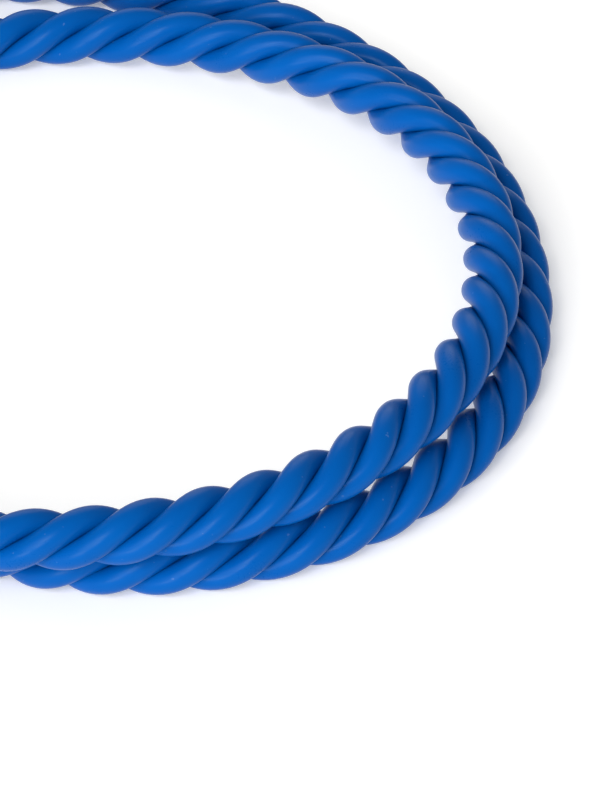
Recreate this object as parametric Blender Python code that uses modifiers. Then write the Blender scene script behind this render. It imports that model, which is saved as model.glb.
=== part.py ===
"""Three-strand barrier rope with a swivelling snap hook in a cap at each end, lying in a loose
two-turn coil. Metres, +Z up, standing on z = 0. Run with: blender --background --python part.py"""

import math

import bmesh
import bpy
import numpy as np
from mathutils import Matrix, Vector

MM = 0.001

# The rope: three strands laid left-handed (S lay) round a common centre line.
ROPE_DIAMETER = 25.0 * MM
LAY_LENGTH = 71.3 * MM          # rope length for one full turn of a strand
LAY_START = math.radians(117)   # where strand 1 starts round the rope at end 1
STRAND_COUNT = 3
STRAND_DIAMETER = 10.6 * MM
HELIX_RADIUS = (ROPE_DIAMETER - STRAND_DIAMETER) / 2
STATIONS_PER_LAY = 8

# The coil's route: (radius, height) of the centre line in mm, one row every 30 degrees
# anticlockwise from above, smoothed by a cubic B-spline. The first turn lies on the floor, and
# the second climbs onto it at the front, then slides off its inner shoulder at the back.
ROUTE_START = -210
ROUTE_STEP = 30
ROUTE = [
    (84, 15), (102, 15), (132, 15), (167, 14),
    (192, 12.6), (208, 12.6), (205, 12.6), (189, 12.6), (188, 12.6), (195, 12.6),
    (218, 12.6), (234, 12.6), (236, 12.6), (226, 12.6), (213, 12.6), (206, 30),
    (207, 36.5), (204, 38.5), (191, 38), (177.5, 34.5), (168, 31.5), (168, 20.5),
    (172, 12.6), (169, 12.6), (162, 15), (149, 15), (128, 15),
]
ROPE_FIRST_ANGLE = -163         # where the rope enters the cap of end 1
ROPE_LAST_ANGLE = 523           # where it enters the cap of end 2
COIL_CENTRE = Vector((17.0 * MM, -6.5 * MM, 0))

# The end fittings. Positions along a fitting are measured outwards from the cap's mouth.
CLEARANCE = 0.3 * MM
ROPE_IN_CAP = 28 * MM
CAP_RADIUS = 15 * MM
CAP_BORE = 13.5 * MM
CAP_LENGTH = 41 * MM
CAP_WALL_END = 38 * MM          # inner face of the closed end
SHANK_RADIUS = 2.2 * MM
SCREW_RADIUS = 2.0 * MM
SCREW_AT = 8 * MM
SCREW_ANGLES = (60, -60)        # degrees either side of straight up
HOOK_THICKNESS = 8 * MM
PIVOT = (52 * MM, 9.5 * MM)     # gate pin: along the fitting, and above its axis
PIVOT_RADIUS = 1.2 * MM
TONGUE_THICKNESS = 2.8 * MM
GATE_THICKNESS = 6.6 * MM
ROUND_STEPS = 24


# ---------------------------------------------------------------- scene

def clear_scene():
    for obj in list(bpy.data.objects):
        bpy.data.objects.remove(obj, do_unlink=True)


def new_collection(name):
    collection = bpy.data.collections.new(name)
    bpy.context.scene.collection.children.link(collection)
    return collection


def new_material(name, colour, roughness, metallic=0.0):
    material = bpy.data.materials.new(name)
    material.use_nodes = True
    shader = material.node_tree.nodes["Principled BSDF"]
    shader.inputs["Base Color"].default_value = (*colour, 1)
    shader.inputs["Roughness"].default_value = roughness
    shader.inputs["Metallic"].default_value = metallic
    return material


def add_object(name, data, material, collection, matrix=None):
    obj = bpy.data.objects.new(name, data)
    if material:
        data.materials.append(material)
    obj.matrix_world = matrix if matrix else Matrix.Identity(4)
    collection.objects.link(obj)
    return obj


# ---------------------------------------------------------------- shapes

def turned(name, profile, material, collection, matrix, steps=ROUND_STEPS, closed=True):
    """A turned piece along the fitting's axis. profile is (radius, distance along the axis),
    down the outer side first; a closed profile is a ring, an open one starts and ends on the axis."""
    mesh = bpy.data.meshes.new(name)
    points = [(radius, 0, -along) for radius, along in profile]
    edges = [(i, i + 1) for i in range(len(points) - 1)]
    if closed:
        edges.append((len(points) - 1, 0))
    mesh.from_pydata(points, edges, [])
    along_axis = Matrix.Rotation(math.radians(-90), 4, "Y")
    obj = add_object(name, mesh, material, collection, matrix @ along_axis)
    screw = obj.modifiers.new("turn", "SCREW")
    screw.steps = screw.render_steps = steps
    screw.use_smooth_shade = True
    screw.use_merge_vertices = True
    screw.merge_threshold = 0.00001
    return obj


def plate(name, outline, thickness, material, collection, matrix, holes=()):
    """A flat piece in the fitting's upright plane, from its outline of (along, above) points."""
    curve = bpy.data.curves.new(name, "CURVE")
    curve.dimensions = "2D"
    curve.fill_mode = "BOTH"
    curve.extrude = thickness / 2
    for loop in (outline, *holes):
        spline = curve.splines.new("POLY")
        spline.points.add(len(loop) - 1)
        for point, (along, above) in zip(spline.points, loop):
            point.co = (along, above, 0, 1)
        spline.use_cyclic_u = True
    upright = Matrix.Rotation(math.radians(90), 4, "X")
    obj = add_object(name, curve, None, collection, matrix @ upright)
    return as_mesh(obj, material)


def as_mesh(obj, material):
    """The curve object as a mesh object of the same name, with its caps welded on."""
    depsgraph = bpy.context.evaluated_depsgraph_get()
    mesh = bpy.data.meshes.new_from_object(obj.evaluated_get(depsgraph))
    name, matrix, collection = obj.name, obj.matrix_world.copy(), obj.users_collection[0]
    bpy.data.objects.remove(obj, do_unlink=True)
    bm = bmesh.new()
    bm.from_mesh(mesh)
    bmesh.ops.remove_doubles(bm, verts=bm.verts, dist=0.000005)
    bmesh.ops.recalc_face_normals(bm, faces=bm.faces)
    bm.to_mesh(mesh)
    bm.free()
    mesh.materials.clear()
    return add_object(name, mesh, material, collection, matrix)


def arc(centre, radius, first, last, count):
    """Points along an arc, in degrees, anticlockwise if last is above first."""
    angles = [math.radians(first + (last - first) * i / (count - 1)) for i in range(count)]
    return [(centre[0] + radius * math.cos(a), centre[1] + radius * math.sin(a)) for a in angles]


def drill(obj, cutter, operation="DIFFERENCE"):
    boolean = obj.modifiers.new(cutter.name, "BOOLEAN")
    boolean.object = cutter
    boolean.operation = operation
    boolean.solver = "EXACT"


def cylinder_cutter(name, radius, length, matrix, collection, sides=16):
    mesh = bpy.data.meshes.new(name)
    bm = bmesh.new()
    bmesh.ops.create_cone(bm, cap_ends=True, segments=sides, radius1=radius, radius2=radius,
                          depth=length)
    bm.to_mesh(mesh)
    bm.free()
    return hidden(add_object(name, mesh, None, collection, matrix))


def box_cutter(name, low, high, matrix, collection):
    mesh = bpy.data.meshes.new(name)
    size = Vector(high) - Vector(low)
    middle = (Vector(high) + Vector(low)) / 2
    bm = bmesh.new()
    bmesh.ops.create_cube(bm, size=1, matrix=Matrix.LocRotScale(middle, None, size))
    bm.to_mesh(mesh)
    bm.free()
    return hidden(add_object(name, mesh, None, collection, matrix))


def hidden(obj):
    obj.hide_render = True
    obj.display_type = "WIRE"
    return obj


# ---------------------------------------------------------------- the rope's route

def b_spline(values, position):
    """Uniform cubic B-spline through a list of values, at a position counted in rows."""
    row = min(max(int(position), 1), len(values) - 3)
    t = position - row
    a, b, c, d = values[row - 1:row + 3]
    return ((1 - t) ** 3 * a + (3 * t ** 3 - 6 * t ** 2 + 4) * b
            + (-3 * t ** 3 + 3 * t ** 2 + 3 * t + 1) * c + t ** 3 * d) / 6


def coil_point(angle):
    position = (angle - ROUTE_START) / ROUTE_STEP
    radius = b_spline([row[0] for row in ROUTE], position) * MM
    height = b_spline([row[1] for row in ROUTE], position) * MM
    turn = math.radians(angle)
    return COIL_CENTRE + Vector((radius * math.cos(turn), radius * math.sin(turn), height))


def rope_end(angle, sign):
    """The cap's mouth and the level direction in which the rope runs into the cap."""
    mouth = coil_point(angle)
    ahead = mouth - coil_point(angle - sign * 0.1)
    ahead.z = 0
    mouth.z = CAP_RADIUS
    return mouth, ahead.normalized()


def rope_route():
    """Close points along the whole centre line, with the straight ends inside the caps."""
    first, first_dir = rope_end(ROPE_FIRST_ANGLE, -1)
    last, last_dir = rope_end(ROPE_LAST_ANGLE, 1)
    angles = np.linspace(ROPE_FIRST_ANGLE, ROPE_LAST_ANGLE, 1400)
    inserts = np.linspace(ROPE_IN_CAP, 0, 18, endpoint=False)
    points = [first + first_dir * along for along in inserts]
    points += [coil_point(angle) for angle in angles]
    points += [last + last_dir * along for along in inserts[::-1]]
    return np.array([tuple(point) for point in points])


def strand_points(number):
    """One strand's centre line: a left-handed helix round the route."""
    route = rope_route()
    steps = np.linalg.norm(np.diff(route, axis=0), axis=1)
    run = np.concatenate([[0], np.cumsum(steps)])
    count = round(run[-1] / LAY_LENGTH * STATIONS_PER_LAY) + 1
    stations = np.linspace(0, run[-1], count)
    centre = np.stack([np.interp(stations, run, route[:, i]) for i in range(3)], axis=1)
    tangent = np.gradient(centre, axis=0)
    tangent /= np.linalg.norm(tangent, axis=1)[:, None]
    inward = np.cross((0, 0, 1), tangent)
    inward /= np.linalg.norm(inward, axis=1)[:, None]
    upward = np.cross(tangent, inward)
    phase = LAY_START + 2 * math.pi * (number / STRAND_COUNT - stations / LAY_LENGTH)
    return centre + HELIX_RADIUS * (np.cos(phase)[:, None] * inward
                                    + np.sin(phase)[:, None] * upward)


def build_strand(number, material, collection):
    curve = bpy.data.curves.new(f"strand_{number + 1}", "CURVE")
    curve.dimensions = "3D"
    curve.bevel_depth = STRAND_DIAMETER / 2
    curve.bevel_resolution = 1
    curve.use_fill_caps = True
    points = strand_points(number)
    spline = curve.splines.new("POLY")
    spline.points.add(len(points) - 1)
    for point, place in zip(spline.points, points):
        point.co = (*place, 1)
    return add_object(curve.name, curve, material, collection)


# ---------------------------------------------------------------- the end fittings

def build_cap(end, place, parts, cutters, material):
    """Cup with a beaded mouth and a domed, drilled end, and two holes for its grub screws."""
    outer = [(CAP_RADIUS - 0.8 * MM, 0), (CAP_RADIUS, 0.8 * MM), (CAP_RADIUS, 3.2 * MM),
             (CAP_RADIUS - 0.5 * MM, 4.0 * MM), (CAP_RADIUS - 0.5 * MM, 28 * MM)]
    dome = [(CAP_RADIUS - 1.2 * MM, 31 * MM), (12.2 * MM, 34.2 * MM), (10.4 * MM, 37.2 * MM),
            (8.6 * MM, 39.6 * MM), (7.6 * MM, CAP_LENGTH)]
    hole = SHANK_RADIUS + CLEARANCE
    inner = [(hole, CAP_LENGTH), (hole, CAP_WALL_END), (8.4 * MM, CAP_WALL_END),
             (8.4 * MM, 36 * MM), (12.2 * MM, 30.6 * MM), (CAP_BORE, 29.4 * MM), (CAP_BORE, 0)]
    cap = turned(f"end_cap_{end}", outer + dome + inner, material, parts, place)
    for letter, angle in zip("ab", SCREW_ANGLES):
        cutter = cylinder_cutter(f"cut_screw_{end}{letter}", SCREW_RADIUS + CLEARANCE, 6 * MM,
                                 screw_place(place, angle, CAP_RADIUS), cutters)
        drill(cap, cutter)


def screw_place(place, angle, radius):
    """A frame on the cap's wall with +Z pointing out of it."""
    around = Matrix.Rotation(math.radians(angle), 4, "X")
    return place @ around @ Matrix.Translation((SCREW_AT, 0, radius))


def build_screw(end, letter, angle, place, parts, cutters, material):
    """Grub screw with a hexagon socket, from just off the rope to flush with the cap."""
    tip = 12.8 * MM
    head = CAP_RADIUS - 0.5 * MM
    name = f"cap_screw_{end}{letter}"
    mesh = bpy.data.meshes.new(name)
    bm = bmesh.new()
    bmesh.ops.create_cone(bm, cap_ends=True, segments=16, radius1=SCREW_RADIUS - 0.3 * MM,
                          radius2=SCREW_RADIUS, depth=head - tip)
    bm.to_mesh(mesh)
    bm.free()
    middle = screw_place(place, angle, (head + tip) / 2)
    screw = add_object(name, mesh, material, parts, middle)
    socket = cylinder_cutter(f"cut_socket_{end}{letter}", 1.1 * MM, 2 * MM,
                             screw_place(place, angle, head), cutters, sides=6)
    drill(screw, socket)


def build_swivel(end, place, parts, metal, steel):
    """The headed swivel pin through the cap's end, and the washer under its head."""
    head_at = 33.6 * MM
    washer_at = 37.0 * MM
    shank_end = 49.0 * MM
    pin = [(0, shank_end), (SHANK_RADIUS - 0.4 * MM, shank_end),
           (SHANK_RADIUS, shank_end - 0.6 * MM), (SHANK_RADIUS, washer_at - CLEARANCE),
           (6 * MM, washer_at - CLEARANCE), (6 * MM, head_at + 0.6 * MM), (5.4 * MM, head_at),
           (0, head_at)]
    turned(f"swivel_pin_{end}", pin[::-1], steel, parts, place, closed=False)
    inner = SHANK_RADIUS + CLEARANCE
    washer = [(6.6 * MM, washer_at), (6.6 * MM, CAP_WALL_END - CLEARANCE),
              (inner, CAP_WALL_END - CLEARANCE), (inner, washer_at)]
    turned(f"swivel_washer_{end}", washer, metal, parts, place)


def build_tape(end, place, parts, material):
    """Whipping tape wound round the strands' cut ends, inside the cap."""
    inner, outer = 12.8 * MM, 13.2 * MM
    band = [(outer, 15 * MM), (outer, 27 * MM), (inner, 27 * MM), (inner, 15 * MM)]
    turned(f"end_tape_{end}", band, material, parts, place)


def hook_outline():
    """Body of the snap hook: base, lug, spine and bow, out to the lip that stops the gate."""
    base = [(41.8, 6.2), (41.8, -6.2), (44.5, -9.2), (52, -12.2), (62, -13.6), (72, -14)]
    bow = arc((93, 0), 14, -90, 90, 19)
    lip = [(83.4, 14), (82.6, 13.2), (82.6, 11.2), (88.9, 11.2), (88.9, 8.4), (89.4, 8)]
    seat = arc((96, 3), 5, 90, 0, 6) + arc((96, -3), 5, 0, -90, 6)
    eye = seat + [(56, -8), (52.5, -6.8), (50.6, -4), (50.6, 3.6)]
    lug = arc((52, 9.5), 5.4, -75, 152, 14)
    shoulder = [(44.4, 8.8)]
    return scaled(base + bow + lip + eye + lug + shoulder)


def scaled(points):
    return [(x * MM, y * MM) for x, y in points]


def gate_outlines():
    """The gate's thin tongue, round its pin, and its thicker bar with the tip under the lip."""
    tongue = arc((52, 9.5), 3.7, 50, 290, 13) + [(58, 7.0), (61, 7.4), (61, 12.0)]
    bar = [(58.3, 7.6), (59.2, 7.0), (84, 7.0), (88.2, 8.0), (88.2, 10.8), (82.0, 10.8),
           (82.0, 12.6), (81.2, 13.2), (59.2, 13.2), (58.3, 12.4)]
    return scaled(tongue), scaled(bar)


def build_hook(end, place, parts, cutters, metal, steel):
    """The snap hook's body, gate, gate pin and leaf spring."""
    body = plate(f"hook_body_{end}", hook_outline(), HOOK_THICKNESS, metal, parts, place)
    slot_half = TONGUE_THICKNESS / 2 + CLEARANCE
    slot = box_cutter(f"cut_slot_{end}", (46.6 * MM, -slot_half, 3.6 * MM),
                      (60 * MM, slot_half, 16 * MM), place, cutters)
    drill(body, slot)
    along_axis = Matrix.Rotation(math.radians(90), 4, "Y")
    bore = cylinder_cutter(f"cut_bore_{end}", SHANK_RADIUS + CLEARANCE, 16 * MM,
                           place @ Matrix.Translation((41.4 * MM, 0, 0)) @ along_axis, cutters)
    drill(body, bore)
    across = place @ Matrix.Translation((PIVOT[0], 0, PIVOT[1])) @ Matrix.Rotation(
        math.radians(90), 4, "X")
    pin_hole = cylinder_cutter(f"cut_pin_{end}", PIVOT_RADIUS + CLEARANCE, 20 * MM, across, cutters)
    drill(body, pin_hole)

    tongue_outline, bar_outline = gate_outlines()
    bar = plate(f"add_bar_{end}", bar_outline, GATE_THICKNESS, None, cutters, place)
    hidden(bar)
    gate = plate(f"hook_gate_{end}", tongue_outline, TONGUE_THICKNESS, metal, parts, place)
    drill(gate, bar, "UNION")
    drill(gate, pin_hole)

    half = HOOK_THICKNESS / 2 + CLEARANCE
    rivet = [(0, half + 0.9 * MM), (1.6 * MM, half + 0.9 * MM), (2.3 * MM, half + 0.4 * MM),
             (2.3 * MM, half), (PIVOT_RADIUS, half)]
    rivet += [(radius, -along) for radius, along in rivet[::-1]]
    pin_place = place @ Matrix.Translation((PIVOT[0], 0, PIVOT[1])) @ Matrix.Rotation(
        math.radians(90), 4, "Z")
    turned(f"gate_pin_{end}", rivet[::-1], steel, parts, pin_place, steps=16, closed=False)

    leaf = [(47.0, 3.95), (50.5, 3.95), (56.0, 4.9), (61.5, 6.2), (63.0, 6.2),
            (63.0, 6.6), (61.4, 6.6), (55.9, 5.3), (50.4, 4.35), (47.0, 4.35)]
    plate(f"gate_spring_{end}", scaled(leaf), 2.4 * MM, steel, parts, place)


def fitting_place(mouth, direction):
    """The fitting's frame: origin at the cap's mouth, +X outwards along its axis, +Z up."""
    side = Vector((0, 0, 1)).cross(direction)
    rotation = Matrix((direction, side, Vector((0, 0, 1)))).transposed()
    return Matrix.Translation(mouth) @ rotation.to_4x4()


def main():
    clear_scene()
    parts = new_collection("barrier_rope")
    cutters = new_collection("cutters")
    blue = new_material("rope_rubber", (0.005, 0.13, 0.52), 0.5)
    chrome = new_material("chrome", (0.78, 0.78, 0.8), 0.15, 1.0)
    steel = new_material("steel", (0.6, 0.6, 0.62), 0.35, 1.0)
    tape = new_material("whipping_tape", (0.05, 0.05, 0.06), 0.7)

    for number in range(STRAND_COUNT):
        build_strand(number, blue, parts)
    ends = [rope_end(ROPE_FIRST_ANGLE, -1), rope_end(ROPE_LAST_ANGLE, 1)]
    for end, (mouth, direction) in enumerate(ends, start=1):
        place = fitting_place(mouth, direction)
        build_cap(end, place, parts, cutters, chrome)
        for letter, angle in zip("ab", SCREW_ANGLES):
            build_screw(end, letter, angle, place, parts, cutters, steel)
        build_tape(end, place, parts, tape)
        build_swivel(end, place, parts, steel, steel)
        build_hook(end, place, parts, cutters, chrome, steel)


main()
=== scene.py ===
import math

import bmesh
import bpy
import numpy as np
from mathutils import Matrix, Vector


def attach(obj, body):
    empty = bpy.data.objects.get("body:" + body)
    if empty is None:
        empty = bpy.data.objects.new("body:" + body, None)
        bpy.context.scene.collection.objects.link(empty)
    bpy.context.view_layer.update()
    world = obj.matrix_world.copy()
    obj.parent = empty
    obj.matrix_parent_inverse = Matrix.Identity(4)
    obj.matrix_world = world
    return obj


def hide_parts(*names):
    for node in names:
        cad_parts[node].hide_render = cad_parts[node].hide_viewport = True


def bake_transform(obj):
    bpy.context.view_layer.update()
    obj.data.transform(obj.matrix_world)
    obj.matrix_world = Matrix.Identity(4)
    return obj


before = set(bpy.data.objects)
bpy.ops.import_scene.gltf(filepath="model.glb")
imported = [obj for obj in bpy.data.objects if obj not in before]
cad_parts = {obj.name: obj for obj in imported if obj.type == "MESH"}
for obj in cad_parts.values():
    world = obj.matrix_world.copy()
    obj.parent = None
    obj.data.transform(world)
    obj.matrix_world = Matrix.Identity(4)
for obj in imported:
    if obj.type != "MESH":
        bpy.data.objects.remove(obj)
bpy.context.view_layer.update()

MM = 0.001

# The rope's route, as in the CAD part: (radius, height) of the centre line in mm every
# ROUTE_STEP degrees from ROUTE_START, read with a cubic B-spline.
ROUTE_START = -210
ROUTE_STEP = 30
ROUTE = [
    (84, 15), (102, 15), (132, 15), (167, 14),
    (192, 12.6), (208, 12.6), (205, 12.6), (189, 12.6), (188, 12.6), (195, 12.6),
    (218, 12.6), (234, 12.6), (236, 12.6), (226, 12.6), (213, 12.6), (206, 30),
    (207, 36.5), (204, 38.5), (191, 38), (177.5, 34.5), (168, 31.5), (168, 20.5),
    (172, 12.6), (169, 12.6), (162, 15), (149, 15), (128, 15),
]
ROPE_FIRST_ANGLE = -163
ROPE_LAST_ANGLE = 523
COIL_CENTRE = Vector((17.0 * MM, -6.5 * MM, 0))
ROUTE_SAMPLES = 1400
DIRECTION_STEP = 0.1
ROPE_IN_CAP = 28 * MM
IN_CAP_SAMPLES = 18
CAP_RADIUS = 15 * MM

# The rope's own shape.
ROPE_RADIUS = 12.5 * MM
LAY_LENGTH = 71.3 * MM
LAY_START = math.radians(117)
# How far the lay runs ahead of its even pitch, in degrees, at distances in mm from the rope's
# first cut end. It is smoothed over DRIFT_WINDOW.
LAY_DRIFT = [
    (0, 0), (200, -6), (300, -14), (450, -8), (600, 3), (720, 20), (1100, 0), (1480, 26),
    (1560, 10), (1640, 0), (1840, 5), (1940, -15), (2060, 0), (2150, 6), (2400, 0),
]
DRIFT_WINDOW = 100 * MM
STRANDS = 3
STRAND_RADIUS = 5.8 * MM
HELIX_RADIUS = ROPE_RADIUS - STRAND_RADIUS
STRAND_SIDES = 32
STATION_STEP = 2.3 * MM
STRAND_GAP = 0.04 * MM
DIRECTION_SMOOTHINGS = 3
UV_PER_METRE = 10
UV_BETWEEN_STRANDS = 37

# The end fittings, measured outwards from the cap's mouth, as in the CAD part.
CLEARANCE = 0.3 * MM
SHANK_RADIUS = 2.2 * MM
SCREW_RADIUS = 2.0 * MM
SCREW_AT = 8 * MM
SCREW_ANGLES = (60, -60)
THREAD_PITCH = 0.5 * MM
THREAD_DEPTH = 0.22 * MM
SOCKET_RADIUS = 1.1 * MM
WASHER_AT = 37.0 * MM
HOOK_THICKNESS = 8 * MM
PIVOT = (52 * MM, 9.5 * MM)
PIVOT_HOLE_RADIUS = 1.5 * MM
TONGUE_THICKNESS = 2.8 * MM
GATE_THICKNESS = 6.6 * MM
LEAF_WIDTH = 2.4 * MM
LEAF_THICKNESS = 0.4 * MM
LEAF_STATIONS = 25

# Modelling: points nearer than SAME_POINT are one point, a rounded corner takes up to
# CORNER_SHARE of the sides that it joins, and edges sharper than these angles stay sharp.
SAME_POINT = 0.002 * MM
CORNER_SHARE = 0.42
FITTING_SHARP_ANGLE = math.radians(32)
ROPE_SHARP_ANGLE = math.radians(60)

FLOOR_HALF_SIZE = 40.0
FLOOR_CELLS = 8


# ---------------------------------------------------------------- camera

def make_camera():
    """A long lens, 38 degrees above the floor, aimed at the coil's front right quarter."""
    elevation = math.radians(38.09)
    distance = 2.95
    target = Vector((116.2 * MM, -77.8 * MM, 0))
    back = Vector((0, -math.cos(elevation), math.sin(elevation)))
    data = bpy.data.cameras.new("camera")
    data.sensor_width = 36
    data.lens = 320.8
    data.clip_start = 0.1
    data.clip_end = 100
    camera = bpy.data.objects.new("camera", data)
    camera.location = target + back * distance
    camera.rotation_mode = "QUATERNION"
    camera.rotation_quaternion = (-back).to_track_quat("-Z", "Y")
    bpy.context.scene.collection.objects.link(camera)
    bpy.context.scene.camera = camera


# ---------------------------------------------------------------- the rope's route

def b_spline(values, position):
    """The uniform cubic B-spline of the values, at a position counted in steps."""
    row = min(max(int(position), 1), len(values) - 3)
    t = position - row
    a, b, c, d = values[row - 1:row + 3]
    return ((1 - t) ** 3 * a + (3 * t ** 3 - 6 * t ** 2 + 4) * b
            + (-3 * t ** 3 + 3 * t ** 2 + 3 * t + 1) * c + t ** 3 * d) / 6


def coil_point(angle):
    """The centre line's point at an angle round the coil, in degrees."""
    position = (angle - ROUTE_START) / ROUTE_STEP
    radius = b_spline([row[0] for row in ROUTE], position) * MM
    height = b_spline([row[1] for row in ROUTE], position) * MM
    turn = math.radians(angle)
    return COIL_CENTRE + Vector((radius * math.cos(turn), radius * math.sin(turn), height))


def rope_end(angle, sign):
    """The middle of a cap's mouth and the level direction in which the cap points."""
    mouth = coil_point(angle)
    ahead = mouth - coil_point(angle - sign * DIRECTION_STEP)
    ahead.z = 0
    mouth.z = CAP_RADIUS
    return mouth, ahead.normalized()


def rope_route():
    """The whole centre line, from one cut end inside its cap to the other."""
    first, first_dir = rope_end(ROPE_FIRST_ANGLE, -1)
    last, last_dir = rope_end(ROPE_LAST_ANGLE, 1)
    angles = np.linspace(ROPE_FIRST_ANGLE, ROPE_LAST_ANGLE, ROUTE_SAMPLES)
    inserts = np.linspace(ROPE_IN_CAP, 0, IN_CAP_SAMPLES, endpoint=False)
    points = [first + first_dir * along for along in inserts]
    points += [coil_point(angle) for angle in angles]
    points += [last + last_dir * along for along in inserts[::-1]]
    return np.array([tuple(point) for point in points])


# ---------------------------------------------------------------- materials

class Nodes:
    """A material's node tree, with short ways to add and join nodes."""

    def __init__(self, name):
        self.material = bpy.data.materials.new(name)
        self.material.use_nodes = True
        self.tree = self.material.node_tree
        self.shader = self.tree.nodes["Principled BSDF"]

    def set(self, **values):
        for name, value in values.items():
            self.shader.inputs[name.replace("_", " ")].default_value = value

    def add(self, kind, **settings):
        node = self.tree.nodes.new("ShaderNode" + kind)
        for name, value in settings.items():
            setattr(node, name, value)
        return node

    def join(self, output, socket):
        self.tree.links.new(output, socket)

    def coordinates(self, kind="Object", scale=(1, 1, 1)):
        mapping = self.add("Mapping")
        mapping.inputs["Scale"].default_value = scale
        self.join(self.add("TexCoord").outputs[kind], mapping.inputs["Vector"])
        return mapping.outputs["Vector"]

    def noise(self, vector, scale, detail=3, rough=0.55):
        node = self.add("TexNoise")
        node.inputs["Scale"].default_value = scale
        node.inputs["Detail"].default_value = detail
        node.inputs["Roughness"].default_value = rough
        self.join(vector, node.inputs["Vector"])
        return node.outputs["Fac"]

    def ramp(self, factor, *stops):
        node = self.add("ValToRGB")
        elements = node.color_ramp.elements
        while len(elements) < len(stops):
            elements.new(0.5)
        for element, (position, colour) in zip(elements, stops):
            element.position = position
            element.color = (*colour, 1)
        self.join(factor, node.inputs["Fac"])
        return node.outputs["Color"]

    def remap(self, value, low, high, new_low, new_high):
        node = self.add("MapRange")
        for name, number in (("From Min", low), ("From Max", high),
                             ("To Min", new_low), ("To Max", new_high)):
            node.inputs[name].default_value = number
        self.join(value, node.inputs["Value"])
        return node.outputs["Result"]

    def maths(self, operation, first, second):
        node = self.add("Math", operation=operation)
        for socket, value in zip(node.inputs, (first, second)):
            if isinstance(value, (int, float)):
                socket.default_value = value
            else:
                self.join(value, socket)
        return node.outputs["Value"]

    def mix(self, factor, first, colour):
        node = self.add("MixRGB")
        self.join(factor, node.inputs["Fac"])
        self.join(first, node.inputs["Color1"])
        node.inputs["Color2"].default_value = (*colour, 1)
        return node.outputs["Color"]

    def bump(self, height, strength, distance, before=None):
        node = self.add("Bump")
        node.inputs["Strength"].default_value = strength
        node.inputs["Distance"].default_value = distance
        self.join(height, node.inputs["Height"])
        if before:
            self.join(before, node.inputs["Normal"])
        return node.outputs["Normal"]

    def use(self, **outputs):
        for name, output in outputs.items():
            self.join(output, self.shader.inputs[name.replace("_", " ")])


def rubber_material():
    """Satin blue rubber: faint mottling, lines drawn along the strand, and a few dust specks."""
    m = Nodes("rope_rubber")
    m.set(Specular_IOR_Level=0.09, Specular_Tint=(0.6, 0.85, 1.0, 1), IOR=1.5)
    place = m.coordinates()
    mottle = m.noise(place, 38, 4)
    grain = m.noise(place, 900, 2)
    colour = m.ramp(mottle, (0.3, (0.0, 0.074, 0.314)), (0.7, (0.0, 0.082, 0.340)))
    dust_noise = m.noise(place, 420, 1)
    dust = m.ramp(dust_noise, (0.765, (0, 0, 0)), (0.79, (1, 1, 1)))
    colour = m.mix(m.maths("MULTIPLY", dust, 0.22), colour, (0.15, 0.25, 0.45))
    drawn = m.noise(m.coordinates("UV", (14, 46, 1)), 1.0, 3)
    roughness = m.remap(m.maths("ADD", mottle, grain), 0.7, 1.3, 0.27, 0.34)
    normal = m.bump(drawn, 0.10, 0.0002)
    normal = m.bump(grain, 0.10, 0.00008, normal)
    m.use(Base_Color=colour, Roughness=roughness, Normal=normal)
    return m.material


def chrome_material():
    """Polished plate on a casting: slight waviness, hairline scratches and handling marks."""
    m = Nodes("chrome")
    m.set(Metallic=1.0)
    place = m.coordinates()
    waves = m.noise(place, 90, 2)
    smudge = m.noise(place, 160, 4, 0.6)
    scratches = m.noise(m.coordinates(scale=(1, 1, 40)), 130, 3, 0.7)
    hairline = m.ramp(scratches, (0.60, (0, 0, 0)), (0.64, (1, 1, 1)))
    colour = m.ramp(smudge, (0.35, (0.70, 0.705, 0.72)), (0.65, (0.76, 0.765, 0.78)))
    roughness = m.maths("ADD", m.remap(smudge, 0.35, 0.7, 0.08, 0.13),
                        m.maths("MULTIPLY", hairline, 0.1))
    normal = m.bump(waves, 0.12, 0.0004)
    normal = m.bump(hairline, 0.12, 0.00002, normal)
    m.use(Base_Color=colour, Roughness=roughness, Normal=normal)
    return m.material


def steel_material():
    """Machined steel: fine turning lines and a dull, slightly uneven surface."""
    m = Nodes("steel")
    m.set(Metallic=1.0)
    place = m.coordinates()
    patches = m.noise(place, 300, 3)
    lines = m.noise(m.coordinates(scale=(1, 30, 30)), 240, 3, 0.7)
    colour = m.ramp(patches, (0.3, (0.47, 0.47, 0.48)), (0.7, (0.62, 0.62, 0.63)))
    roughness = m.remap(lines, 0.3, 0.7, 0.26, 0.42)
    normal = m.bump(lines, 0.2, 0.00003)
    m.use(Base_Color=colour, Roughness=roughness, Normal=normal)
    return m.material


def tape_material():
    """Black cloth whipping tape, with its weave."""
    m = Nodes("whipping_tape")
    m.set(Sheen_Weight=0.25, Sheen_Roughness=0.5)
    weave = []
    for direction in ("X", "Z"):
        wave = m.add("TexWave", bands_direction=direction)
        wave.inputs["Scale"].default_value = 420
        wave.inputs["Distortion"].default_value = 0.6
        m.join(m.coordinates(), wave.inputs["Vector"])
        weave.append(wave.outputs["Fac"])
    threads = m.maths("MULTIPLY", *weave)
    colour = m.ramp(threads, (0.1, (0.012, 0.012, 0.015)), (0.8, (0.06, 0.06, 0.07)))
    m.use(Base_Color=colour, Roughness=m.remap(threads, 0, 1, 0.85, 0.65),
          Normal=m.bump(threads, 0.5, 0.0001))
    return m.material


def floor_material():
    """Matt, nearly white, and glowing a little so that it fades out like a studio sweep."""
    m = Nodes("floor")
    tone = m.noise(m.coordinates(), 3, 3)
    colour = m.ramp(tone, (0.3, (0.880, 0.874, 0.856)), (0.7, (0.890, 0.884, 0.866)))
    m.use(Base_Color=colour, Roughness=m.remap(tone, 0, 1, 0.85, 0.95))
    m.set(Specular_IOR_Level=0.2, Emission_Color=(1, 1, 1, 1), Emission_Strength=0.27)
    return m.material


# ---------------------------------------------------------------- pieces

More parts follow.
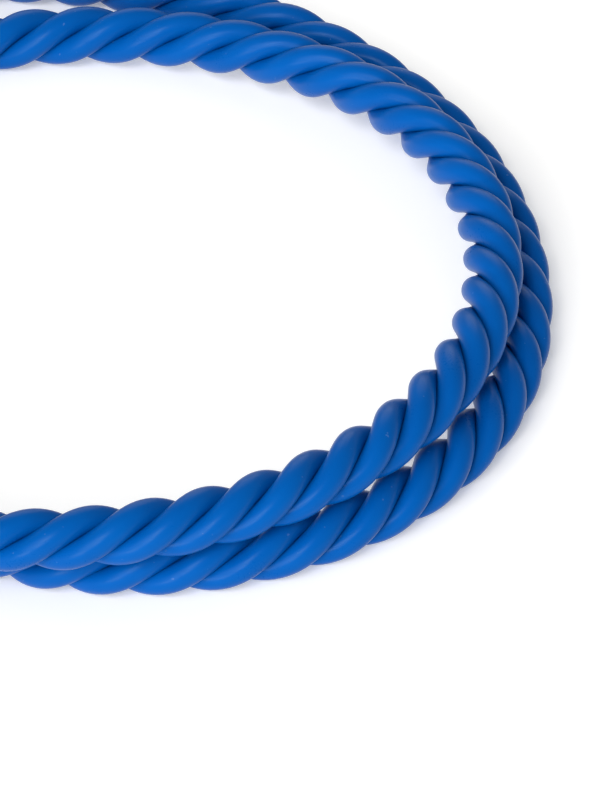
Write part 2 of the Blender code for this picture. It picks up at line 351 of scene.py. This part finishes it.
def add_piece(name, data, material, body, stands_for, matrix=None):
    """Puts a piece in the scene, in place of its CAD nodes; one with no body is left unattached.
    """
    data.materials.append(material)
    obj = bpy.data.objects.new(name, data)
    bpy.context.scene.collection.objects.link(obj)
    if matrix:
        obj.matrix_world = matrix
    if body:
        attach(obj, body)
    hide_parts(*stands_for)
    return obj


def build_rope(material):
    """Three strands swept along the route, each pressed flat where it meets its neighbours."""
    route = rope_route()
    steps = np.linalg.norm(np.diff(route, axis=0), axis=1)
    run = np.concatenate([[0], np.cumsum(steps)])
    count = int(run[-1] / STATION_STEP) + 1
    along = np.linspace(0, run[-1], count)
    centre = np.stack([np.interp(along, run, route[:, i]) for i in range(3)], axis=1)
    tangent = np.gradient(centre, axis=0)
    for _ in range(DIRECTION_SMOOTHINGS):
        tangent[1:-1] = (tangent[:-2] + tangent[1:-1] + tangent[2:]) / 3
    tangent /= np.linalg.norm(tangent, axis=1)[:, None]
    inward = np.cross((0, 0, 1), tangent)
    inward /= np.linalg.norm(inward, axis=1)[:, None]
    upward = np.cross(tangent, inward)
    drift = np.interp(along / MM, *zip(*LAY_DRIFT))
    window = int(DRIFT_WINDOW / STATION_STEP)
    padded = np.pad(drift, window, mode="edge")
    drift = np.convolve(padded, np.ones(window) / window, mode="same")[window:-window]

    helix_slope = math.hypot(1, 2 * math.pi * HELIX_RADIUS / LAY_LENGTH)
    turns = np.linspace(0, 2 * math.pi, STRAND_SIDES, endpoint=False)
    out = HELIX_RADIUS + STRAND_RADIUS * np.cos(turns)
    aside = STRAND_RADIUS * helix_slope * np.sin(turns)
    limit = np.maximum(out * math.sqrt(3) - 2 * STRAND_GAP, 0)
    aside = np.clip(aside, -limit, limit)

    verts, faces, uvs = [], [], []
    for number in range(STRANDS):
        turned = number / STRANDS - along / LAY_LENGTH
        phase = LAY_START + 2 * math.pi * turned + np.radians(drift)
        radial = np.cos(phase)[:, None] * inward + np.sin(phase)[:, None] * upward
        around = -np.sin(phase)[:, None] * inward + np.cos(phase)[:, None] * upward
        rings = (centre[:, None] + out[None, :, None] * radial[:, None]
                 + aside[None, :, None] * around[:, None])
        first = len(verts)
        verts += rings.reshape(-1, 3).tolist()
        for i in range(count - 1):
            for j in range(STRAND_SIDES):
                k = (j + 1) % STRAND_SIDES
                low, high = first + i * STRAND_SIDES, first + (i + 1) * STRAND_SIDES
                faces.append((low + j, low + k, high + k, high + j))
                u0, u1 = along[i:i + 2] * UV_PER_METRE + number * UV_BETWEEN_STRANDS
                v0, v1 = j / STRAND_SIDES, (j + 1) / STRAND_SIDES
                uvs += [(u0, v0), (u0, v1), (u1, v1), (u1, v0)]
        last = first + (count - 1) * STRAND_SIDES
        for ring, order in ((first, -1), (last, 1)):
            cap = [ring + j for j in range(STRAND_SIDES)][::order]
            faces.append(cap)
            uvs += [(0, 0)] * STRAND_SIDES
    mesh = bpy.data.meshes.new("rope")
    mesh.from_pydata(verts, [], faces)
    layer = mesh.uv_layers.new(name="strand")
    layer.data.foreach_set("uv", np.array(uvs, np.float32).ravel())
    mesh.shade_smooth()
    mesh.set_sharp_from_angle(angle=ROPE_SHARP_ANGLE)
    rope = add_piece("rope_strands", mesh, material, "rope",
                     ("strand_1", "strand_2", "strand_3"))
    mouth, _ = rope_end(ROPE_FIRST_ANGLE, -1)


def rounded(points, radius, count=4, closed=True):
    """The outline with each corner turned into a small curve; an open one keeps its two ends."""
    result = []
    for i, (x, y) in enumerate(points):
        if not closed and i in (0, len(points) - 1):
            result.append((x, y))
            continue
        corner = Vector((x, y))
        before = Vector(points[i - 1]) - corner
        after = Vector(points[(i + 1) % len(points)]) - corner
        reach = min(radius, CORNER_SHARE * before.length, CORNER_SHARE * after.length)
        start = corner + before.normalized() * reach
        end = corner + after.normalized() * reach
        for step in range(count + 1):
            t = step / count
            result.append(tuple(start * (1 - t) ** 2 + corner * 2 * t * (1 - t) + end * t ** 2))
    return result


def arc(centre, radius, first, last, count):
    angles = [math.radians(first + (last - first) * i / (count - 1)) for i in range(count)]
    return [(centre[0] + radius * math.cos(a), centre[1] + radius * math.sin(a)) for a in angles]


def scaled(points):
    return [(x * MM, y * MM) for x, y in points]


def turned_mesh(name, profile, steps=96, closed=True):
    """A turned shape round its own X axis from (radius, distance along), outer side first."""
    verts, faces = [], []
    count = len(profile)
    for step in range(steps):
        turn = 2 * math.pi * step / steps
        verts += [(along, radius * math.cos(turn), radius * math.sin(turn))
                  for radius, along in profile]
    sides = count if closed else count - 1
    for step in range(steps):
        here, there = step * count, (step + 1) % steps * count
        for i in range(sides):
            j = (i + 1) % count
            faces.append((here + i, here + j, there + j, there + i))
    mesh = bpy.data.meshes.new(name)
    mesh.from_pydata(verts, [], faces)
    cleaned(mesh)
    smooth(mesh)
    return mesh


def cleaned(mesh):
    """Joins points that lie together and turns all faces outwards."""
    bm = bmesh.new()
    bm.from_mesh(mesh)
    bmesh.ops.remove_doubles(bm, verts=bm.verts, dist=SAME_POINT)
    bmesh.ops.recalc_face_normals(bm, faces=bm.faces)
    bm.to_mesh(mesh)
    bm.free()


def smooth(mesh):
    mesh.shade_smooth()
    mesh.set_sharp_from_angle(angle=FITTING_SHARP_ANGLE)


def plate_mesh(name, outline, thickness, edge, cuts=(), joins=()):
    """A plate in the local XZ plane with rounded edges, then cut and joined by other meshes."""
    curve = bpy.data.curves.new(name, "CURVE")
    curve.dimensions = "2D"
    curve.fill_mode = "BOTH"
    curve.extrude = thickness / 2 - edge
    curve.bevel_depth = edge
    curve.bevel_resolution = 3
    curve.offset = -edge
    spline = curve.splines.new("POLY")
    spline.points.add(len(outline) - 1)
    for point, (along, above) in zip(spline.points, outline):
        point.co = (along, above, 0, 1)
    spline.use_cyclic_u = True
    obj = bpy.data.objects.new(name, curve)
    bpy.context.scene.collection.objects.link(obj)
    mesh = evaluated(obj)
    mesh.transform(Matrix.Rotation(math.radians(90), 4, "X"))
    cleaned(mesh)
    return combined(mesh, cuts, joins)


def evaluated(obj):
    """The object's mesh with its modifiers, in place of the object."""
    graph = bpy.context.evaluated_depsgraph_get()
    mesh = bpy.data.meshes.new_from_object(obj.evaluated_get(graph))
    bpy.data.objects.remove(obj, do_unlink=True)
    return mesh


def combined(mesh, cuts, joins):
    """The mesh with other meshes joined to it, and then others cut out of it."""
    obj = bpy.data.objects.new("work", mesh)
    bpy.context.scene.collection.objects.link(obj)
    tools = []
    for operation, meshes in (("UNION", joins), ("DIFFERENCE", cuts)):
        for other in meshes:
            tool = bpy.data.objects.new("tool", other)
            bpy.context.scene.collection.objects.link(tool)
            tools.append(tool)
            boolean = obj.modifiers.new("cut", "BOOLEAN")
            boolean.object = tool
            boolean.operation = operation
            boolean.solver = "EXACT"
    result = evaluated(obj)
    for tool in tools:
        bpy.data.objects.remove(tool, do_unlink=True)
    result.materials.clear()
    cleaned(result)
    smooth(result)
    return result


def box_mesh(low, high):
    mesh = bpy.data.meshes.new("box")
    bm = bmesh.new()
    low, high = Vector(low), Vector(high)
    place = Matrix.LocRotScale((low + high) / 2, None, high - low)
    bmesh.ops.create_cube(bm, size=1, matrix=place)
    bm.to_mesh(mesh)
    bm.free()
    return mesh


def rod_mesh(radius, length, matrix, sides=48):
    mesh = bpy.data.meshes.new("rod")
    bm = bmesh.new()
    bmesh.ops.create_cone(bm, cap_ends=True, segments=sides, radius1=radius, radius2=radius,
                          depth=length, matrix=matrix)
    bm.to_mesh(mesh)
    bm.free()
    return mesh


ALONG = Matrix.Rotation(math.radians(90), 4, "Y")
ACROSS = Matrix.Rotation(math.radians(90), 4, "X")


def screw_frame(angle, radius):
    """Where a grub screw sits: turned round the cap's axis, and out to a radius."""
    around = Matrix.Rotation(math.radians(angle), 4, "X")
    return around @ Matrix.Translation((SCREW_AT, 0, radius))


def cap_mesh():
    """A drawn cup with a rolled mouth, a rounded shoulder and two screw holes."""
    outer = [(14.2, 0), (15, 0.8), (15, 3.2), (14.5, 4.0), (14.5, 25)]
    dome = [(14.5, 28), (13.8, 31), (12.2, 34.2), (10.4, 37.2), (8.6, 39.6), (7.6, 41)]
    hole = (SHANK_RADIUS + CLEARANCE) / MM
    inner = [(hole, 41), (hole, 38), (8.4, 38), (8.4, 36), (12.2, 30.6), (13.5, 29.4), (13.5, 0)]
    dome = rounded([outer[-1]] + dome, 3, 6, closed=False)
    corners = rounded(scaled(inner + outer[:-1]), 0.6 * MM, closed=False)
    mesh = turned_mesh("cap", corners + scaled(dome))
    holes = [rod_mesh(SCREW_RADIUS + CLEARANCE, 6 * MM, screw_frame(angle, CAP_RADIUS))
             for angle in SCREW_ANGLES]
    return combined(mesh, holes, ())


def screw_mesh(angle):
    """Grub screw with a chamfered head, a hexagon socket and a threaded shank."""
    tip, head = 12.8 * MM, CAP_RADIUS - 0.5 * MM
    radius = SCREW_RADIUS
    profile = [(0, head), (radius - 0.3 * MM, head), (radius, head - 0.25 * MM)]
    at = head - 0.5 * MM
    while at - THREAD_PITCH > tip + 0.2 * MM:
        profile += [(radius - THREAD_DEPTH, at - THREAD_PITCH / 2), (radius, at - THREAD_PITCH)]
        at -= THREAD_PITCH
    profile += [(radius - 0.4 * MM, tip), (0, tip)]
    mesh = turned_mesh("screw", profile, 64, closed=False)
    mesh.transform(Matrix.Rotation(math.radians(-90), 4, "Y"))
    socket = rod_mesh(SOCKET_RADIUS, 2 * MM, Matrix.Translation((0, 0, head)), sides=6)
    mesh = combined(mesh, [socket], ())
    mesh.transform(screw_frame(angle, 0))
    return mesh


def pin_mesh():
    """The swivel's pin, with its head inside the cap."""
    head_at, head_top, end = 33.6 * MM, WASHER_AT - CLEARANCE, 49.0 * MM
    profile = [(0, end), (SHANK_RADIUS - 0.5 * MM, end), (SHANK_RADIUS, end - 0.7 * MM),
               (SHANK_RADIUS, head_top), (6 * MM, head_top),
               (6 * MM, head_at + 0.7 * MM), (5.2 * MM, head_at), (0, head_at)]
    return turned_mesh("pin", rounded(profile, 0.25 * MM, closed=False), closed=False)


def washer_mesh():
    inner, outer = SHANK_RADIUS + CLEARANCE, 6.6 * MM
    near, far = WASHER_AT, 37.7 * MM
    profile = [(outer, near), (outer, far), (inner, far), (inner, near)]
    return turned_mesh("washer", rounded(profile, 0.15 * MM))


def tape_mesh():
    """Two turns of tape, with the edge of the upper one showing as a step."""
    profile = [(13.2, 15), (13.2, 22.4), (13.0, 22.6), (13.0, 27), (12.8, 27), (12.8, 15)]
    return turned_mesh("tape", rounded(scaled(profile), 0.08 * MM))


def pivot_hole_mesh():
    place = Matrix.Translation((PIVOT[0], 0, PIVOT[1])) @ ACROSS
    return rod_mesh(PIVOT_HOLE_RADIUS, 20 * MM, place)


def hook_mesh():
    """The hook's body: base, bow, lip, flat seat, eye and a slotted lug for the gate."""
    base = [(41.8, 6.2), (41.8, -6.2), (44.5, -9.2), (52, -12.2), (62, -13.6), (72, -14)]
    bow = arc((93, 0), 14, -90, 90, 49)
    lip = [(83.4, 14), (82.6, 13.2), (82.6, 11.2), (88.9, 11.2), (88.9, 8.4), (89.4, 8)]
    seat = arc((96, 3), 5, 90, 0, 12) + arc((96, -3), 5, 0, -90, 12)
    eye = [(56, -8), (52.5, -6.8), (50.6, -4), (50.6, 3.6)]
    lug = arc((52, 9.5), 5.4, -75, 152, 30)
    outline = rounded(scaled(base + bow + lip + seat + eye + lug + [(44.4, 8.8)]), 0.5 * MM, 3)
    slot_half = TONGUE_THICKNESS / 2 + CLEARANCE
    slot = box_mesh((46.6 * MM, -slot_half, 3.6 * MM), (60 * MM, slot_half, 16 * MM))
    bore_place = Matrix.Translation((41.4 * MM, 0, 0)) @ ALONG
    bore = rod_mesh(SHANK_RADIUS + CLEARANCE, 16 * MM, bore_place)
    return plate_mesh("hook", outline, HOOK_THICKNESS, 1.1 * MM,
                      cuts=[slot, bore, pivot_hole_mesh()])


def gate_mesh():
    """The gate: a bar with a nose, on a thinner tongue that turns in the hook's slot."""
    tongue = arc((52, 9.5), 3.7, 50, 290, 30) + [(58, 7.0), (61, 7.4), (61, 12.0)]
    bar = [(58.3, 7.6), (59.2, 7.0), (84, 7.0), (88.2, 8.0), (88.2, 10.8), (82.0, 10.8),
           (82.0, 12.6), (81.2, 13.2), (59.2, 13.2), (58.3, 12.4)]
    bar_mesh = plate_mesh("bar", rounded(scaled(bar), 0.6 * MM, 3), GATE_THICKNESS, 0.8 * MM)
    return plate_mesh("gate", scaled(tongue), TONGUE_THICKNESS, 0.3 * MM,
                      cuts=[pivot_hole_mesh()], joins=[bar_mesh])


def rivet_mesh():
    """The gate's pin, with a domed head on both sides."""
    half = HOOK_THICKNESS / 2 + CLEARANCE
    side = [(0, half + 0.9 * MM), (1.3 * MM, half + 0.85 * MM), (1.9 * MM, half + 0.65 * MM),
            (2.3 * MM, half + 0.25 * MM), (2.3 * MM, half), (1.2 * MM, half)]
    profile = side + [(radius, -along) for radius, along in side[::-1]]
    mesh = turned_mesh("rivet", rounded(profile, 0.3 * MM, closed=False), 64, closed=False)
    mesh.transform(Matrix.Rotation(math.radians(90), 4, "Z"))
    mesh.transform(Matrix.Translation((PIVOT[0], 0, PIVOT[1])))
    return mesh


def leaf_mesh():
    """The gate's leaf spring, with many points along its length."""
    corners = [(47.0, 4.15), (50.45, 4.15), (55.95, 5.1), (61.45, 6.4), (63.0, 6.4)]
    line = np.array(rounded(scaled(corners), 2 * MM, 6, closed=False))
    run = np.concatenate([[0], np.cumsum(np.linalg.norm(np.diff(line, axis=0), axis=1))])
    stations = np.linspace(0, run[-1], LEAF_STATIONS)
    middle = np.stack([np.interp(stations, run, line[:, i]) for i in range(2)], axis=1)
    half = np.array((0, LEAF_THICKNESS / 2))
    outline = (middle - half).tolist() + (middle + half)[::-1].tolist()
    return plate_mesh("leaf", outline, LEAF_WIDTH, 0.06 * MM)


def build_fitting(end, matrix, materials):
    """All the pieces of one end; the leaf spring has no body and has its place baked into its
    mesh.
    """
    chrome, steel, tape = materials
    rope, hook, gate = "rope", f"hook_{end}", f"gate_{end}"
    pieces = [
        (f"end_cap_{end}", cap_mesh(), chrome, rope, "chrome"),
        (f"cap_screw_{end}a", screw_mesh(SCREW_ANGLES[0]), steel, rope, "steel"),
        (f"cap_screw_{end}b", screw_mesh(SCREW_ANGLES[1]), steel, rope, "steel"),
        (f"end_tape_{end}", tape_mesh(), tape, rope, "whipping_tape"),
        (f"swivel_washer_{end}", washer_mesh(), steel, rope, "steel"),
        (f"swivel_pin_{end}", pin_mesh(), steel, hook, "steel"),
        (f"hook_body_{end}", hook_mesh(), chrome, hook, "chrome"),
        (f"gate_pin_{end}", rivet_mesh(), steel, hook, "steel"),
        (f"gate_spring_{end}", leaf_mesh(), steel, None, "steel"),
        (f"hook_gate_{end}", gate_mesh(), chrome, gate, "chrome"),
    ]
    for node, mesh, material, body, slot in pieces:
        piece = add_piece(f"{node}_fine", mesh, material, body, (node,), matrix)
        if body is None:
            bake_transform(piece)


def fitting_place(mouth, direction):
    """A frame with its X axis out of the cap and its Z axis up."""
    side = Vector((0, 0, 1)).cross(direction)
    rotation = Matrix((direction, side, Vector((0, 0, 1)))).transposed()
    return Matrix.Translation(mouth) @ rotation.to_4x4()


# ---------------------------------------------------------------- floor and light

def build_floor():
    bm = bmesh.new()
    bmesh.ops.create_grid(bm, x_segments=FLOOR_CELLS, y_segments=FLOOR_CELLS,
                          size=FLOOR_HALF_SIZE)
    mesh = bpy.data.meshes.new("floor")
    bm.to_mesh(mesh)
    bm.free()
    mesh.materials.append(floor_material())
    floor = bpy.data.objects.new("floor", mesh)
    bpy.context.scene.collection.objects.link(floor)


def add_light(name, azimuth, elevation, energy, size):
    """A distant soft light; azimuth 0 is in front of the coil and 90 on its right."""
    data = bpy.data.lights.new(name, "SUN")
    data.energy = energy
    data.angle = math.radians(size)
    turn, rise = math.radians(azimuth), math.radians(elevation)
    towards = Vector((math.sin(turn) * math.cos(rise), -math.cos(turn) * math.cos(rise),
                      math.sin(rise)))
    light = bpy.data.objects.new(name, data)
    light.rotation_mode = "QUATERNION"
    light.rotation_quaternion = towards.to_track_quat("Z", "Y")
    bpy.context.scene.collection.objects.link(light)


def build_light():
    """A grey surround, darker above; a key and a low light from the front left; two narrow
    lights that draw the highlights; and a faint one from behind."""
    world = bpy.data.worlds.new("surround")
    bpy.context.scene.world = world
    world.use_nodes = True
    tree = world.node_tree
    background = tree.nodes["Background"]
    place = tree.nodes.new("ShaderNodeTexCoord")
    split = tree.nodes.new("ShaderNodeSeparateXYZ")
    tree.links.new(place.outputs["Generated"], split.inputs["Vector"])
    ramp = tree.nodes.new("ShaderNodeValToRGB")
    tones = ((0.0, 0.50), (1.0, 0.29))
    for element, (height, tone) in zip(ramp.color_ramp.elements, tones):
        element.position = height
        element.color = (tone, tone, tone, 1)
    tree.links.new(split.outputs["Z"], ramp.inputs["Fac"])
    tree.links.new(ramp.outputs["Color"], background.inputs["Color"])
    background.inputs["Strength"].default_value = 1.0

    add_light("key", azimuth=-36, elevation=37, energy=1.3, size=36)
    add_light("low", azimuth=-34, elevation=2, energy=1.9, size=24)
    add_light("strip_high", azimuth=-14, elevation=46, energy=0.95, size=16)
    add_light("strip_low", azimuth=-15, elevation=25, energy=0.85, size=16)
    add_light("back", azimuth=180, elevation=30, energy=0.6, size=40)
    view = bpy.context.scene.view_settings
    view.view_transform = "Standard"
    view.look = "None"


# ---------------------------------------------------------------- the whole scene

make_camera()
build_rope(rubber_material())
fitting_materials = (chrome_material(), steel_material(), tape_material())
for end, (angle, sign) in enumerate(((ROPE_FIRST_ANGLE, -1), (ROPE_LAST_ANGLE, 1)), start=1):
    build_fitting(end, fitting_place(*rope_end(angle, sign)), fitting_materials)
build_floor()
build_light()
